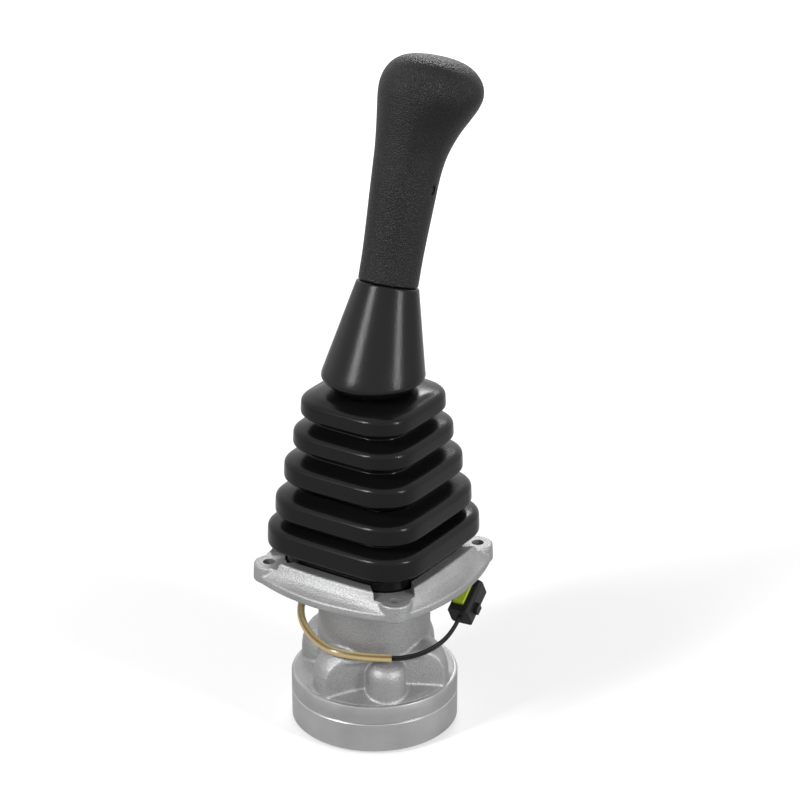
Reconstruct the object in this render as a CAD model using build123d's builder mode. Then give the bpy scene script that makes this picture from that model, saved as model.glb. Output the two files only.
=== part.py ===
from build123d import *
import os
from math import sin, cos, tan, radians, hypot, atan2, degrees

os.makedirs("parts", exist_ok=True)

# driving sizes, millimetres; z = 0 is the mounting face of the flange
hole_pitch = 85.0
hole_r = 3.5
pad_half = 42.0
pad_r = 9.5
side_bulge = 59.0
rim_r = 47.8
foot_z = -94.0
plate_bottom_z = -92.0
seam_z = -74.5
rim_top_z = -63.3
neck_r = 32.0
neck_bottom_z = -41.0
lobe_offset = 28.0
lobe_r = 16.0
rod_pitch_r = 18.9
chamber_r = 10.0
bush_bore_r = 6.0
pivot_z = 22.0
lean_deg = 17.0
bend_z = 120.0
spots = [(rod_pitch_r, 0), (0, rod_pitch_r), (-rod_pitch_r, 0), (0, -rod_pitch_r)]
spot_names = ["px", "py", "nx", "ny"]
ports = [(34.7, 17), (34.7, 73), (34.7, 197), (34.7, 253), (29.5, -45), (29.5, 135)]
port_spots = [(r * cos(radians(a)), r * sin(radians(a))) for r, a in ports]
lean = Plane(origin=(0, 0, bend_z), x_dir=(1, 0, 0),
             z_dir=(0, sin(radians(lean_deg)), cos(radians(lean_deg))))


# cast casing: rim, four lobes, flat walls, neck and square flange
with BuildPart() as casting:
    with BuildSketch(Plane.XY.offset(seam_z)):
        Circle(rim_r)
    extrude(amount=rim_top_z - seam_z)
    with Locations((0, 0, rim_top_z)):
        Cone(bottom_radius=rim_r - 0.6, top_radius=31, height=4.3,
             align=(Align.CENTER, Align.CENTER, Align.MIN))
    with BuildSketch(Plane.XY.offset(-64)):
        Rectangle(61, 61, rotation=45)
    extrude(amount=23)
    for x, y in ((lobe_offset, 0), (-lobe_offset, 0), (0, lobe_offset), (0, -lobe_offset)):
        with Locations((x, y, -64)):
            Cylinder(lobe_r, 10, align=(Align.CENTER, Align.CENTER, Align.MIN))
        with Locations((x, y, -54)):
            Cone(bottom_radius=lobe_r, top_radius=13.2, height=7.5, align=(Align.CENTER, Align.CENTER, Align.MIN))
        with Locations((x, y, -46.5)):
            Cone(bottom_radius=13.2, top_radius=6, height=5.5, align=(Align.CENTER, Align.CENTER, Align.MIN))
    for turn in (-45, 135):
        x, y = 34 * cos(radians(turn)), 34 * sin(radians(turn))
        with Locations((x, y, -63.5)):
            Cylinder(11, 12, align=(Align.CENTER, Align.CENTER, Align.MIN))
        with Locations((x, y, -51.5)):
            Cone(bottom_radius=11, top_radius=8.6, height=5.5, align=(Align.CENTER, Align.CENTER, Align.MIN))
        with Locations((x, y, -46)):
            Cone(bottom_radius=8.6, top_radius=3, height=4, align=(Align.CENTER, Align.CENTER, Align.MIN))
    with BuildSketch(Plane.XY.offset(-64)):
        Circle(neck_r)
    extrude(amount=65)
    with Locations((0, 0, -14)):
        Cone(bottom_radius=neck_r, top_radius=38, height=14,
             align=(Align.CENTER, Align.CENTER, Align.MIN))
    with BuildSketch(Plane.XY.offset(-5)):
        Circle(45)
        Circle(41, mode=Mode.SUBTRACT)
    extrude(amount=6)
    with BuildSketch(Plane.XY) as outline:
        with BuildLine():
            edge = pad_half + pad_r
            k = pad_half + pad_r * cos(radians(45))
            ThreePointArc((edge, -pad_half), (side_bulge, 0), (edge, pad_half))
            ThreePointArc((edge, pad_half), (k, k), (pad_half, edge))
            ThreePointArc((pad_half, edge), (0, side_bulge), (-pad_half, edge))
            ThreePointArc((-pad_half, edge), (-k, k), (-edge, pad_half))
            ThreePointArc((-edge, pad_half), (-side_bulge, 0), (-edge, -pad_half))
            ThreePointArc((-edge, -pad_half), (-k, -k), (-pad_half, -edge))
            ThreePointArc((-pad_half, -edge), (0, -side_bulge), (pad_half, -edge))
            ThreePointArc((pad_half, -edge), (k, -k), (edge, -pad_half))
        make_face()
    extrude(amount=5)
    with BuildSketch(Plane.XY.offset(5)):
        with BuildLine():
            ThreePointArc((50, -42), (57.6, 0), (50, 42))
            Line((50, 42), (42, 50))
            ThreePointArc((42, 50), (0, 57.6), (-42, 50))
            Line((-42, 50), (-50, 42))
            ThreePointArc((-50, 42), (-57.6, 0), (-50, -42))
            Line((-50, -42), (-42, -50))
            ThreePointArc((-42, -50), (0, -57.6), (42, -50))
            Line((42, -50), (50, -42))
        make_face()
    extrude(amount=9, taper=42)
    for x, y in ((1, 1), (1, -1), (-1, 1), (-1, -1)):
        with Locations((x * pad_half, y * pad_half, 5)):
            Cylinder(pad_r - 0.3, 5, align=(Align.CENTER, Align.CENTER, Align.MIN))
    for turn in (45, 135, 225, 315):
        with Locations(Location((67 * cos(radians(turn)), 67 * sin(radians(turn)), 10), (0, 0, turn))):
            Box(30, 44, 10, align=(Align.CENTER, Align.CENTER, Align.MIN), mode=Mode.SUBTRACT)
    with BuildSketch(Plane.XY.offset(6)):
        RectangleRounded(84, 84, 21)
    extrude(amount=10, mode=Mode.SUBTRACT)
    with BuildSketch(Plane.XY.offset(2)):
        Circle(38)
    extrude(amount=6, mode=Mode.SUBTRACT)
    with BuildSketch(Plane.XY.offset(-1)):
        with GridLocations(hole_pitch, hole_pitch, 2, 2):
            Circle(hole_r)
    extrude(amount=14, mode=Mode.SUBTRACT)
    with BuildSketch(Plane.XY.offset(-50)):
        with Locations(*spots):
            Circle(chamber_r)
    extrude(amount=53, mode=Mode.SUBTRACT)
    with BuildSketch(Plane.XY.offset(seam_z - 1)):
        with Locations(*spots):
            Circle(bush_bore_r)
    extrude(amount=30, mode=Mode.SUBTRACT)
    with BuildSketch(Plane.XY.offset(-18)):
        Circle(5)
    extrude(amount=22, mode=Mode.SUBTRACT)
    with BuildSketch(Plane.XY.offset(seam_z - 1)):
        with Locations((17, 17), (-17, -17)):
            Circle(4)
        with Locations((-7, 40), (7, -40)):
            Circle(2.5)
        with Locations(port_spots[4], port_spots[5]):
            Circle(3)
    extrude(amount=10, mode=Mode.SUBTRACT)
    with Locations((17, 17, seam_z), (-17, -17, seam_z)):
        Cylinder(4, 18, align=(Align.CENTER, Align.CENTER, Align.MIN), mode=Mode.SUBTRACT)
    with Locations((47.5 * cos(radians(104)), 47.5 * sin(radians(104)), -70)):
        Box(12, 5, 8, mode=Mode.SUBTRACT)
    with Locations(Plane(origin=(-14.9, 25.81, -20), z_dir=(-0.5, 0.866, 0))):
        Cylinder(4.42, 8, align=(Align.CENTER, Align.CENTER, Align.MIN), mode=Mode.SUBTRACT)
        Cylinder(2.3, 8, mode=Mode.SUBTRACT)

# the casting is kept as three nodes: base with the lobes, neck, and flange
with BuildPart() as casing:
    add(casting.part)
    split(bisect_by=Plane.XY.offset(neck_bottom_z), keep=Keep.BOTTOM)
casing.part.label = "casing"
export_step(casing.part, "parts/casing.step")

with BuildPart() as casing_neck:
    add(casting.part)
    split(bisect_by=Plane.XY.offset(neck_bottom_z), keep=Keep.TOP)
    split(bisect_by=Plane.XY.offset(-5), keep=Keep.BOTTOM)
casing_neck.part.label = "casing_neck"
export_step(casing_neck.part, "parts/casing_neck.step")

with BuildPart() as casing_flange:
    add(casting.part)
    split(bisect_by=Plane.XY.offset(-5), keep=Keep.TOP)
casing_flange.part.label = "casing_flange"
export_step(casing_flange.part, "parts/casing_flange.step")

# port plate with six tapped ports, screw pockets and the milled passages
with BuildPart() as port_plate:
    with BuildSketch(Plane.XY.offset(plate_bottom_z)):
        Circle(rim_r)
    extrude(amount=seam_z - plate_bottom_z)
    chamfer(port_plate.edges().filter_by(GeomType.CIRCLE), length=0.6)
    with BuildSketch(Plane.XY.offset(plate_bottom_z - 0.01)):
        with Locations(*port_spots):
            Circle(8)
    extrude(amount=14, mode=Mode.SUBTRACT)
    with BuildSketch(Plane.XY.offset(plate_bottom_z - 0.01)):
        with Locations((17, 17), (-17, -17)):
            Circle(7.8)
    extrude(amount=9, mode=Mode.SUBTRACT)
    with BuildSketch(Plane.XY.offset(plate_bottom_z - 0.01)):
        with Locations((17, 17), (-17, -17)):
            Circle(4)
        with Locations(port_spots[4], port_spots[5]):
            Circle(3)
    extrude(amount=18, mode=Mode.SUBTRACT)
    with BuildSketch(Plane.XY.offset(plate_bottom_z - 0.01)):
        RectangleRounded(23, 23, 4, rotation=45)
    extrude(amount=3, mode=Mode.SUBTRACT)
    for (px, py), (sx, sy) in zip(port_spots[:4], (spots[0], spots[1], spots[2], spots[3])):
        run = hypot(px - sx, py - sy)
        turn = degrees(atan2(py - sy, px - sx))
        with Locations(Location(((px + sx) / 2, (py + sy) / 2, seam_z), (0, 0, turn))):
            Box(run + 5, 5, 4.2, align=(Align.CENTER, Align.CENTER, Align.MAX), mode=Mode.SUBTRACT)
    with BuildSketch(Plane.XY.offset(seam_z - 1.7)):
        Circle(45.2)
        Circle(43.4, mode=Mode.SUBTRACT)
    extrude(amount=2, mode=Mode.SUBTRACT)
    with Locations((-7, 40, -80), (7, -40, -80)):
        Cylinder(2.5, 8, align=(Align.CENTER, Align.CENTER, Align.MIN), mode=Mode.SUBTRACT)
port_plate.part.label = "port_plate"
export_step(port_plate.part, "parts/port_plate.step")

# socket-head screws that hold the port plate
with BuildPart() as port_plate_screws:
    with BuildSketch(Plane.XY.offset(-90.5)):
        with Locations((17, 17), (-17, -17)):
            Circle(6.5)
    extrude(amount=6.2)
    with BuildSketch(Plane.XY.offset(-85)):
        with Locations((17, 17), (-17, -17)):
            Circle(3.98)
    extrude(amount=27)
    with BuildSketch(Plane.XY.offset(-90.6)):
        with Locations((17, 17), (-17, -17)):
            RegularPolygon(3.4, 6)
    extrude(amount=4, mode=Mode.SUBTRACT)
port_plate_screws.part.label = "port_plate_screws"
export_step(port_plate_screws.part, "parts/port_plate_screws.step")

# sealing washers under the screw heads
with BuildPart() as screw_washers:
    with BuildSketch(Plane.XY.offset(-84.29)):
        with Locations((17, 17), (-17, -17)):
            Circle(7.4)
            Circle(4, mode=Mode.SUBTRACT)
    extrude(amount=1.27)
screw_washers.part.label = "screw_washers"
export_step(screw_washers.part, "parts/screw_washers.step")

# seam O-ring between casing and port plate
with BuildPart() as seam_seal:
    with BuildSketch(Plane.XY.offset(seam_z - 1.68)):
        Circle(45.1)
        Circle(43.5, mode=Mode.SUBTRACT)
    extrude(amount=1.66)
seam_seal.part.label = "seam_seal"
export_step(seam_seal.part, "parts/seam_seal.step")

# dowels
with BuildPart() as locating_pins:
    with Locations((-7, 40, -79.5), (7, -40, -79.5)):
        Cylinder(2.49, 13, align=(Align.CENTER, Align.CENTER, Align.MIN))
locating_pins.part.label = "locating_pins"
export_step(locating_pins.part, "parts/locating_pins.step")

# six rubber shipping plugs, dished, standing 2 mm proud
with BuildPart() as port_plugs:
    with BuildSketch(Plane.XY.offset(foot_z)):
        with Locations(*port_spots):
            Circle(10.6)
    extrude(amount=2)
    with BuildSketch(Plane.XY.offset(plate_bottom_z)):
        with Locations(*port_spots):
            Circle(7.95)
    extrude(amount=10)
    with BuildSketch(Plane.XY.offset(foot_z - 0.01)):
        with Locations(*port_spots):
            Circle(5.7)
    extrude(amount=7, mode=Mode.SUBTRACT)
port_plugs.part.label = "port_plugs"
export_step(port_plugs.part, "parts/port_plugs.step")

# spool bushes
with BuildPart() as spool_bushes:
    with BuildSketch(Plane.XY.offset(seam_z + 0.02)):
        for spot in spots:
            with Locations(spot):
                Circle(5.98)
                Circle(3.5, mode=Mode.SUBTRACT)
    extrude(amount=24)
spool_bushes.part.label = "spool_bushes"
export_step(spool_bushes.part, "parts/spool_bushes.step")

# guide plugs that close the four spring chambers
with BuildPart() as guide_plugs:
    with BuildSketch(Plane.XY.offset(-14)):
        for spot in spots:
            with Locations(spot):
                Circle(9.97)
                Circle(8.5, mode=Mode.SUBTRACT)
    extrude(amount=10)
    with BuildSketch(Plane.XY.offset(-4.4)):
        for spot in spots:
            with Locations(spot):
                Circle(9.97)
                Circle(4.06, mode=Mode.SUBTRACT)
    extrude(amount=6.38)
    with BuildSketch(Plane.XY.offset(-0.4)):
        with Locations(*spots):
            Circle(6)
    extrude(amount=3, mode=Mode.SUBTRACT)
guide_plugs.part.label = "guide_plugs"
export_step(guide_plugs.part, "parts/guide_plugs.step")

# lip seals round the push rods
with BuildPart() as rod_seals:
    with BuildSketch(Plane.XY.offset(-0.38)):
        for spot in spots:
            with Locations(spot):
                Circle(5.97)
                Circle(4.05, mode=Mode.SUBTRACT)
    extrude(amount=2.3)
rod_seals.part.label = "rod_seals"
export_step(rod_seals.part, "parts/rod_seals.step")

# retainer plate over the plugs
with BuildPart() as retainer_plate:
    with BuildSketch(Plane.XY.offset(2)):
        Circle(37.9)
        with Locations(*spots):
            Circle(5.4, mode=Mode.SUBTRACT)
        Circle(5.02, mode=Mode.SUBTRACT)
    extrude(amount=4)
retainer_plate.part.label = "retainer_plate"
export_step(retainer_plate.part, "parts/retainer_plate.step")

# lower yoke of the universal joint, screwed into the casing
with BuildPart() as joint_base:
    with BuildSketch(Plane.XY.offset(-17.5)):
        Circle(4.98)
    extrude(amount=24)
    with BuildSketch(Plane.XY.offset(6)):
        RegularPolygon(13.2, 6)
    extrude(amount=4)
    with Locations((8.5, 0, 8), (-8.5, 0, 8)):
        Box(4, 10, pivot_z - 8, align=(Align.CENTER, Align.CENTER, Align.MIN))
    with Locations(Location((8.5, 0, pivot_z), (0, 90, 0)), Location((-8.5, 0, pivot_z), (0, 90, 0))):
        Cylinder(5, 4)
    with Locations(Location((0, 0, pivot_z), (0, 90, 0))):
        Cylinder(3.05, 30, mode=Mode.SUBTRACT)
joint_base.part.label = "joint_base"
export_step(joint_base.part, "parts/joint_base.step")

# cross of the universal joint
with BuildPart() as joint_cross:
    with Locations((0, 0, pivot_z)):
        Box(12, 12, 9)
    with Locations(Location((0, 0, pivot_z), (0, 90, 0)), Location((0, 0, pivot_z), (90, 0, 0))):
        Cylinder(3, 20.6)
joint_cross.part.label = "joint_cross"
export_step(joint_cross.part, "parts/joint_cross.step")

# upper yoke with the threaded stem
with BuildPart() as joint_head:
    with Locations((0, 8.5, pivot_z), (0, -8.5, pivot_z)):
        Box(10, 4, 13, align=(Align.CENTER, Align.CENTER, Align.MIN))
    with Locations(Location((0, 8.5, pivot_z), (90, 0, 0)), Location((0, -8.5, pivot_z), (90, 0, 0))):
        Cylinder(5, 4)
    with Locations((0, 0, pivot_z + 12)):
        Cylinder(10.6, 3.98, align=(Align.CENTER, Align.CENTER, Align.MIN))
    with Locations((0, 0, pivot_z + 15)):
        Cylinder(5.98, 37, align=(Align.CENTER, Align.CENTER, Align.MIN))
    with Locations(Location((0, 0, pivot_z), (90, 0, 0))):
        Cylinder(3.05, 30, mode=Mode.SUBTRACT)
joint_head.part.label = "joint_head"
export_step(joint_head.part, "parts/joint_head.step")

# cam plate: dished disc that pushes the rods
with BuildPart() as cam_plate:
    with BuildSketch(Plane.XY.offset(pivot_z + 4)):
        Circle(27)
        Circle(15, mode=Mode.SUBTRACT)
    extrude(amount=5)
    with BuildSketch(Plane.XY.offset(pivot_z + 7)):
        Circle(18)
        Circle(15, mode=Mode.SUBTRACT)
    extrude(amount=10)
    with BuildSketch(Plane.XY.offset(pivot_z + 16)):
        Circle(18)
        Circle(6, mode=Mode.SUBTRACT)
    extrude(amount=6)
cam_plate.part.label = "cam_plate"
export_step(cam_plate.part, "parts/cam_plate.step")

with BuildPart() as adjusting_nut:
    with BuildSketch(Plane.XY.offset(44)):
        RegularPolygon(13.5, 6)
        Circle(6, mode=Mode.SUBTRACT)
    extrude(amount=8)
adjusting_nut.part.label = "adjusting_nut"
export_step(adjusting_nut.part, "parts/adjusting_nut.step")

with BuildPart() as lock_nut:
    with BuildSketch(Plane.XY.offset(52)):
        RegularPolygon(11, 6, rotation=15)
        Circle(6, mode=Mode.SUBTRACT)
    extrude(amount=6)
lock_nut.part.label = "lock_nut"
export_step(lock_nut.part, "parts/lock_nut.step")

# socket that joins the stem to the lever rod
with BuildPart() as lever_socket:
    with BuildSketch(Plane.XY.offset(58.02)):
        Circle(11)
        Circle(6, mode=Mode.SUBTRACT)
    extrude(amount=20)
    with BuildSketch(Plane.XY.offset(74)):
        Circle(11)
        Circle(7, mode=Mode.SUBTRACT)
    extrude(amount=12)
    with BuildSketch(Plane.XY.offset(74)):
        Circle(7)
    extrude(amount=12, mode=Mode.SUBTRACT)
lever_socket.part.label = "lever_socket"
export_step(lever_socket.part, "parts/lever_socket.step")

# bent lever rod
with BuildPart() as lever_rod:
    with BuildSketch(Plane.XY.offset(74.02)):
        Circle(6.98)
    extrude(amount=bend_z - 74.02)
    with Locations((0, 0, bend_z)):
        Sphere(6.98)
    with BuildSketch(lean):
        Circle(6.98)
    extrude(amount=150)
lever_rod.part.label = "lever_rod"
export_step(lever_rod.part, "parts/lever_rod.step")

# collar ring that carries the top lip of the boot
with BuildPart() as boot_collar:
    with BuildSketch(Plane.XY.offset(104)):
        Circle(15)
        Circle(7, mode=Mode.SUBTRACT)
    extrude(amount=3.4)
    with BuildSketch(Plane.XY.offset(107)):
        Circle(11)
        Circle(7, mode=Mode.SUBTRACT)
    extrude(amount=5)
boot_collar.part.label = "boot_collar"
export_step(boot_collar.part, "parts/boot_collar.step")

def rounded_square(half, corner, steps=7):
    # the outline of a rounded square, each corner arc in a few equal steps
    points = []
    for quarter in range(4):
        turn = radians(90 * quarter)
        for k in range(steps + 1):
            a = radians(90 * quarter + 90 * k / steps)
            cx, cy = half - corner, half - corner
            ox, oy = cx * cos(turn) - cy * sin(turn), cx * sin(turn) + cy * cos(turn)
            points.append((ox + corner * cos(a), oy + corner * sin(a)))
    return points


# five-fold rubber boot: (height, half side, corner radius)
folds = [(19.5, 34.5, 50.0, 24.0), (38.5, 52.0, 46.4, 23.0), (59.0, 72.5, 42.4, 22.0),
         (79.0, 91.0, 38.3, 21.0), (97.0, 109.0, 34.8, 20.0)]
sections = [(6.0, 41.5, 20.5), (15.5, 41.2, 20.4)]
for i, (low, high, half, corner) in enumerate(folds):
    if i:
        gap_z = (folds[i - 1][1] + low) / 2
        sections.append((gap_z, half - 6.4, corner - 5.0))
    sections += [(low, half - 3.2, corner - 2.2), (low + 2.6, half, corner),
                 (high - 2.6, half, corner), (high, half - 3.2, corner - 2.2)]
sections.append((111.5, 23.0, 22.6))
inner_sections = [(5.99, 38.8, 18.0), (17.0, 38.8, 18.0)]
for i, (low, high, half, corner) in enumerate(folds):
    inner_sections.append(((low + high) / 2, half - 2.6, corner - 2.6))
    inner_sections.append(((high + folds[i + 1][0]) / 2 if i < 4 else 108.9, half - 12.6, corner - 9.5))
with BuildPart() as boot:
    for z, half, corner in sections:
        with BuildSketch(Plane.XY.offset(z)):
            Polygon(*rounded_square(half, corner), align=None)
    loft(ruled=True)
    for z, half, corner in inner_sections:
        with BuildSketch(Plane.XY.offset(z)):
            Polygon(*rounded_square(half, corner), align=None)
    loft(ruled=True, mode=Mode.SUBTRACT)
    with BuildSketch(Plane.XY.offset(107)):
        Circle(11.1)
    extrude(amount=6, mode=Mode.SUBTRACT)
boot.part.label = "boot"
export_step(boot.part, "parts/boot.step")

# conical cover over the bend
with BuildPart() as cone_cover:
    with Locations(lean.offset(-14)):
        Cone(bottom_radius=31.9, top_radius=17.4, height=64, align=(Align.CENTER, Align.CENTER, Align.MIN))
    with Locations((0, 0, 119)):
        Box(120, 120, 60, align=(Align.CENTER, Align.CENTER, Align.MAX), mode=Mode.SUBTRACT)
    with Locations((0, 0, 112)):
        Cone(bottom_radius=21, top_radius=28.9, height=7, align=(Align.CENTER, Align.CENTER, Align.MIN))
    with Locations(lean.offset(-14)):
        Cone(bottom_radius=29.3, top_radius=15.7, height=60, align=(Align.CENTER, Align.CENTER, Align.MIN),
             mode=Mode.SUBTRACT)
    with Locations((0, 0, 111.99)):
        Cone(bottom_radius=18.8, top_radius=24.5, height=7, align=(Align.CENTER, Align.CENTER, Align.MIN),
             mode=Mode.SUBTRACT)
    with BuildSketch(lean.offset(40)):
        Circle(7)
    extrude(amount=20, mode=Mode.SUBTRACT)
cone_cover.part.label = "cone_cover"
export_step(cone_cover.part, "parts/cone_cover.step")

# grip: (distance along the leaning axis, half width x, half width y, offset x)
grip_sections = [(50.02, 16.6, 16.55, 0), (82, 17.4, 17.3, 0), (112, 19, 18.6, 0), (127, 21.2, 19.9, 0.8),
                 (141, 24.9, 22, 2.3), (153, 28.2, 24, 4), (161, 27.6, 23.2, 4.8), (170, 22.4, 18.8, 5),
                 (176, 10.5, 9, 4.5)]
with BuildPart() as grip:
    for s, a, b, dx in grip_sections:
        with BuildSketch(lean.offset(s)):
            Polygon(*[(dx + a * cos(radians(9 * k)), b * sin(radians(9 * k))) for k in range(40)], align=None)
    loft(ruled=True)
    with BuildSketch(lean.offset(49)):
        Circle(7)
    extrude(amount=101.1, mode=Mode.SUBTRACT)
    with Locations(Plane(lean.offset(105).origin, x_dir=(0, 1, 0), z_dir=(1, 0, 0)).offset(14.5)):
        Cylinder(2.6, 8, align=(Align.CENTER, Align.CENTER, Align.MIN), mode=Mode.SUBTRACT)
grip.part.label = "grip"
export_step(grip.part, "parts/grip.step")

with BuildPart() as grip_screw:
    with Locations(Plane(lean.offset(105).origin, x_dir=(0, 1, 0), z_dir=(1, 0, 0)).offset(14.52)):
        Cylinder(2.55, 3.2, align=(Align.CENTER, Align.CENTER, Align.MIN))
grip_screw.part.label = "grip_screw"
export_step(grip_screw.part, "parts/grip_screw.step")

# push rods with spring seats, spools and the two springs of each chamber
for name, spot in zip(spot_names, spots):
    with BuildPart() as push_rod:
        with BuildSketch(Plane.XY.offset(-17)):
            with Locations(spot):
                Circle(4)
        extrude(amount=pivot_z - 0.5 + 17)
        with BuildSketch(Plane.XY.offset(-17)):
            with Locations(spot):
                Circle(7)
        extrude(amount=2.9)
        for low, r1, r2, h in ((0, 4, 3.6, 1.7), (1.7, 3.6, 2.6, 1.3), (3.0, 2.6, 1.2, 0.8)):
            with Locations((spot[0], spot[1], pivot_z - 0.5 + low)):
                Cone(bottom_radius=r1, top_radius=r2, height=h, align=(Align.CENTER, Align.CENTER, Align.MIN))
        with BuildSketch(Plane.XY.offset(-17.1)):
            with Locations(spot):
                Circle(3)
        extrude(amount=13, mode=Mode.SUBTRACT)
    push_rod.part.label = "push_rod_" + name
    export_step(push_rod.part, "parts/push_rod_" + name + ".step")
    with BuildPart() as spring_seat:
        with BuildSketch(Plane.XY.offset(-19.5)):
            with Locations(spot):
                Circle(8)
                Circle(3, mode=Mode.SUBTRACT)
        extrude(amount=2.48)
    spring_seat.part.label = "spring_seat_" + name
    export_step(spring_seat.part, "parts/spring_seat_" + name + ".step")
    with BuildPart() as spool:
        with BuildSketch(Plane.XY.offset(-72)):
            with Locations(spot):
                Circle(3.45)
        extrude(amount=24)
        with BuildSketch(Plane.XY.offset(-48.5)):
            with Locations(spot):
                Circle(2.4)
        extrude(amount=33)
    spool.part.label = "spool_" + name
    export_step(spool.part, "parts/spool_" + name + ".step")
    turns = [(spot[0] + 7 * cos(radians(30 * k)), spot[1] + 7 * sin(radians(30 * k)), -49 + 28.6 * k / 48)
             for k in range(49)]
    with BuildPart() as return_spring:
        with BuildLine() as coil:
            Polyline(*turns)
        with BuildSketch(Plane(origin=coil.wire() @ 0, z_dir=coil.wire() % 0)):
            Rectangle(1.5, 1.5)
        sweep(transition=Transition.RIGHT)
    return_spring.part.label = "return_spring_" + name
    export_step(return_spring.part, "parts/return_spring_" + name + ".step")

# harness: sleeve, pair of wires, connector with its lock
sleeve_route = [(-14.5, 25.1, -20), (-21.5, 37.2, -20), (-40.5, 21.5, -20.5), (-43.0, -6.0, -22),
                (-34.5, -26.5, -28), (-16.0, -38.0, -34.5), (7.0, -40.5, -37), (29.5, -26.5, -37.2)]
wire_route = [(29.5, -26.5, -37.2), (37.0, -21.833, -37.267), (46.5, -8.5, -34), (49.5, 5.5, -29), (48.5, 14.5, -23.5)]


def fillets(points, share=0.45):
    radii = []
    for i in range(1, len(points) - 1):
        a, b, c = (Vector(*points[i + k]) for k in (-1, 0, 1))
        turn = (b - a).get_angle(c - b)
        radii.append(round(share * min((b - a).length, (c - b).length) / tan(
            radians(turn / 2)), 2))
    return radii


sleeve_radii = fillets(sleeve_route)
wire_radii = fillets(wire_route)
print("sleeve radii", sleeve_radii)
print("wire radii", wire_radii)
with BuildPart() as harness_sleeve:
    with BuildLine() as sleeve_line:
        FilletPolyline(*sleeve_route, radius=sleeve_radii)
    with BuildSketch(Plane(origin=sleeve_line.wire() @ 0, z_dir=sleeve_line.wire() % 0)):
        RegularPolygon(2.2, 8)
    sweep()
harness_sleeve.part.label = "harness_sleeve"
export_step(harness_sleeve.part, "parts/harness_sleeve.step")
print("sleeve length", sleeve_line.wire().length, harness_sleeve.part.volume / (3.14159265 * 2.2 ** 2))

with BuildPart() as harness_wires:
    with BuildLine() as wire_line:
        FilletPolyline(*wire_route, radius=wire_radii)
    with BuildSketch(Plane(origin=wire_line.wire() @ 0, z_dir=wire_line.wire() % 0)):
        RegularPolygon(1.6, 8)
    sweep()
harness_wires.part.label = "harness_wires"
export_step(harness_wires.part, "parts/harness_wires.step")
print("wires length", wire_line.wire().length, harness_wires.part.volume / (3.14159265 * 1.6 ** 2))

with BuildPart() as harness_grommet:
    with Locations(Plane(origin=(-14.9, 25.82, -20), z_dir=(-0.5, 0.866, 0))):
        Cylinder(4.4, 4.4, align=(Align.CENTER, Align.CENTER, Align.MIN))
        Cylinder(2.3, 12, mode=Mode.SUBTRACT)
harness_grommet.part.label = "harness_grommet"
export_step(harness_grommet.part, "parts/harness_grommet.step")

plug_plane = Plane(origin=(48.5, 14.5, -23.5), x_dir=(9, 1, 0), z_dir=(-1, 9, 5.5))
with BuildPart() as connector_housing:
    with BuildSketch(plug_plane):
        RectangleRounded(13, 14, 2.5)
    extrude(amount=22)
    with BuildSketch(plug_plane.offset(5)):
        with Locations((7.5, 0)):
            Rectangle(3, 5)
    extrude(amount=5)
connector_housing.part.label = "connector_housing"
export_step(connector_housing.part, "parts/connector_housing.step")

with BuildPart() as connector_lock:
    with BuildSketch(plug_plane.offset(4)):
        with Locations((-1, -8)):
            RectangleRounded(6.5, 2, 0.6)
    extrude(amount=14)
connector_lock.part.label = "connector_lock"
export_step(connector_lock.part, "parts/connector_lock.step")
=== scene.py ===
from math import sin, cos, radians, pi, sqrt
import bpy
import bmesh
from mathutils import Vector, Matrix


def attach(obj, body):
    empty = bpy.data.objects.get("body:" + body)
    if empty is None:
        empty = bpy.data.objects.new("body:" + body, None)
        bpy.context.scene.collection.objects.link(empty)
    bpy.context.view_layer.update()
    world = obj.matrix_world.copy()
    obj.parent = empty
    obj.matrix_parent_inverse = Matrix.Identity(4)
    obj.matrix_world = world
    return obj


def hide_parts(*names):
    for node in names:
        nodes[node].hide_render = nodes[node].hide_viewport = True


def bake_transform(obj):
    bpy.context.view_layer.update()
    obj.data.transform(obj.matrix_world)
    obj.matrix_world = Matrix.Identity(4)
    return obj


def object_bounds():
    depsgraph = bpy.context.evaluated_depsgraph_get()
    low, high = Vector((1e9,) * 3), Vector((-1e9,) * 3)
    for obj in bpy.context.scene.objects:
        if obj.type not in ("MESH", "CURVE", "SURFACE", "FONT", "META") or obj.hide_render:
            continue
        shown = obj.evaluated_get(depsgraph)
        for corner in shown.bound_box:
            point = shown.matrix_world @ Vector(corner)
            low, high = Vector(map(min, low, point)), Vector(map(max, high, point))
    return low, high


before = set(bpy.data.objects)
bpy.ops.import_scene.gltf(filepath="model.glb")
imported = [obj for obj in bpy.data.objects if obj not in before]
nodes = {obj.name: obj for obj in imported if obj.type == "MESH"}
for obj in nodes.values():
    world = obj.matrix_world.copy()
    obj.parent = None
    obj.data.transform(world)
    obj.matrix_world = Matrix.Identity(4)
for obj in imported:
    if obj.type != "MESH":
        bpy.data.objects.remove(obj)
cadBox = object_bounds()
print("frame loaded", len(nodes), "nodes")

mm = 0.001
leanTurn = radians(17)
bendPoint = Vector((0, 0, 0.120))
leanUp = Vector((0, sin(leanTurn), cos(leanTurn)))
leanSide = Vector((0, cos(leanTurn), -sin(leanTurn)))
floorZ = cadBox[0][2]


# camera, floor and light

view = {"azimuth": 30.2, "elevation": 25.5, "distance": 1.52, "right": 0.09137, "up": 0.03545,
        "pivot": (0, 0, 0.010), "aim": (0.003, 0.022, 0.0965), "lens": 121}


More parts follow.
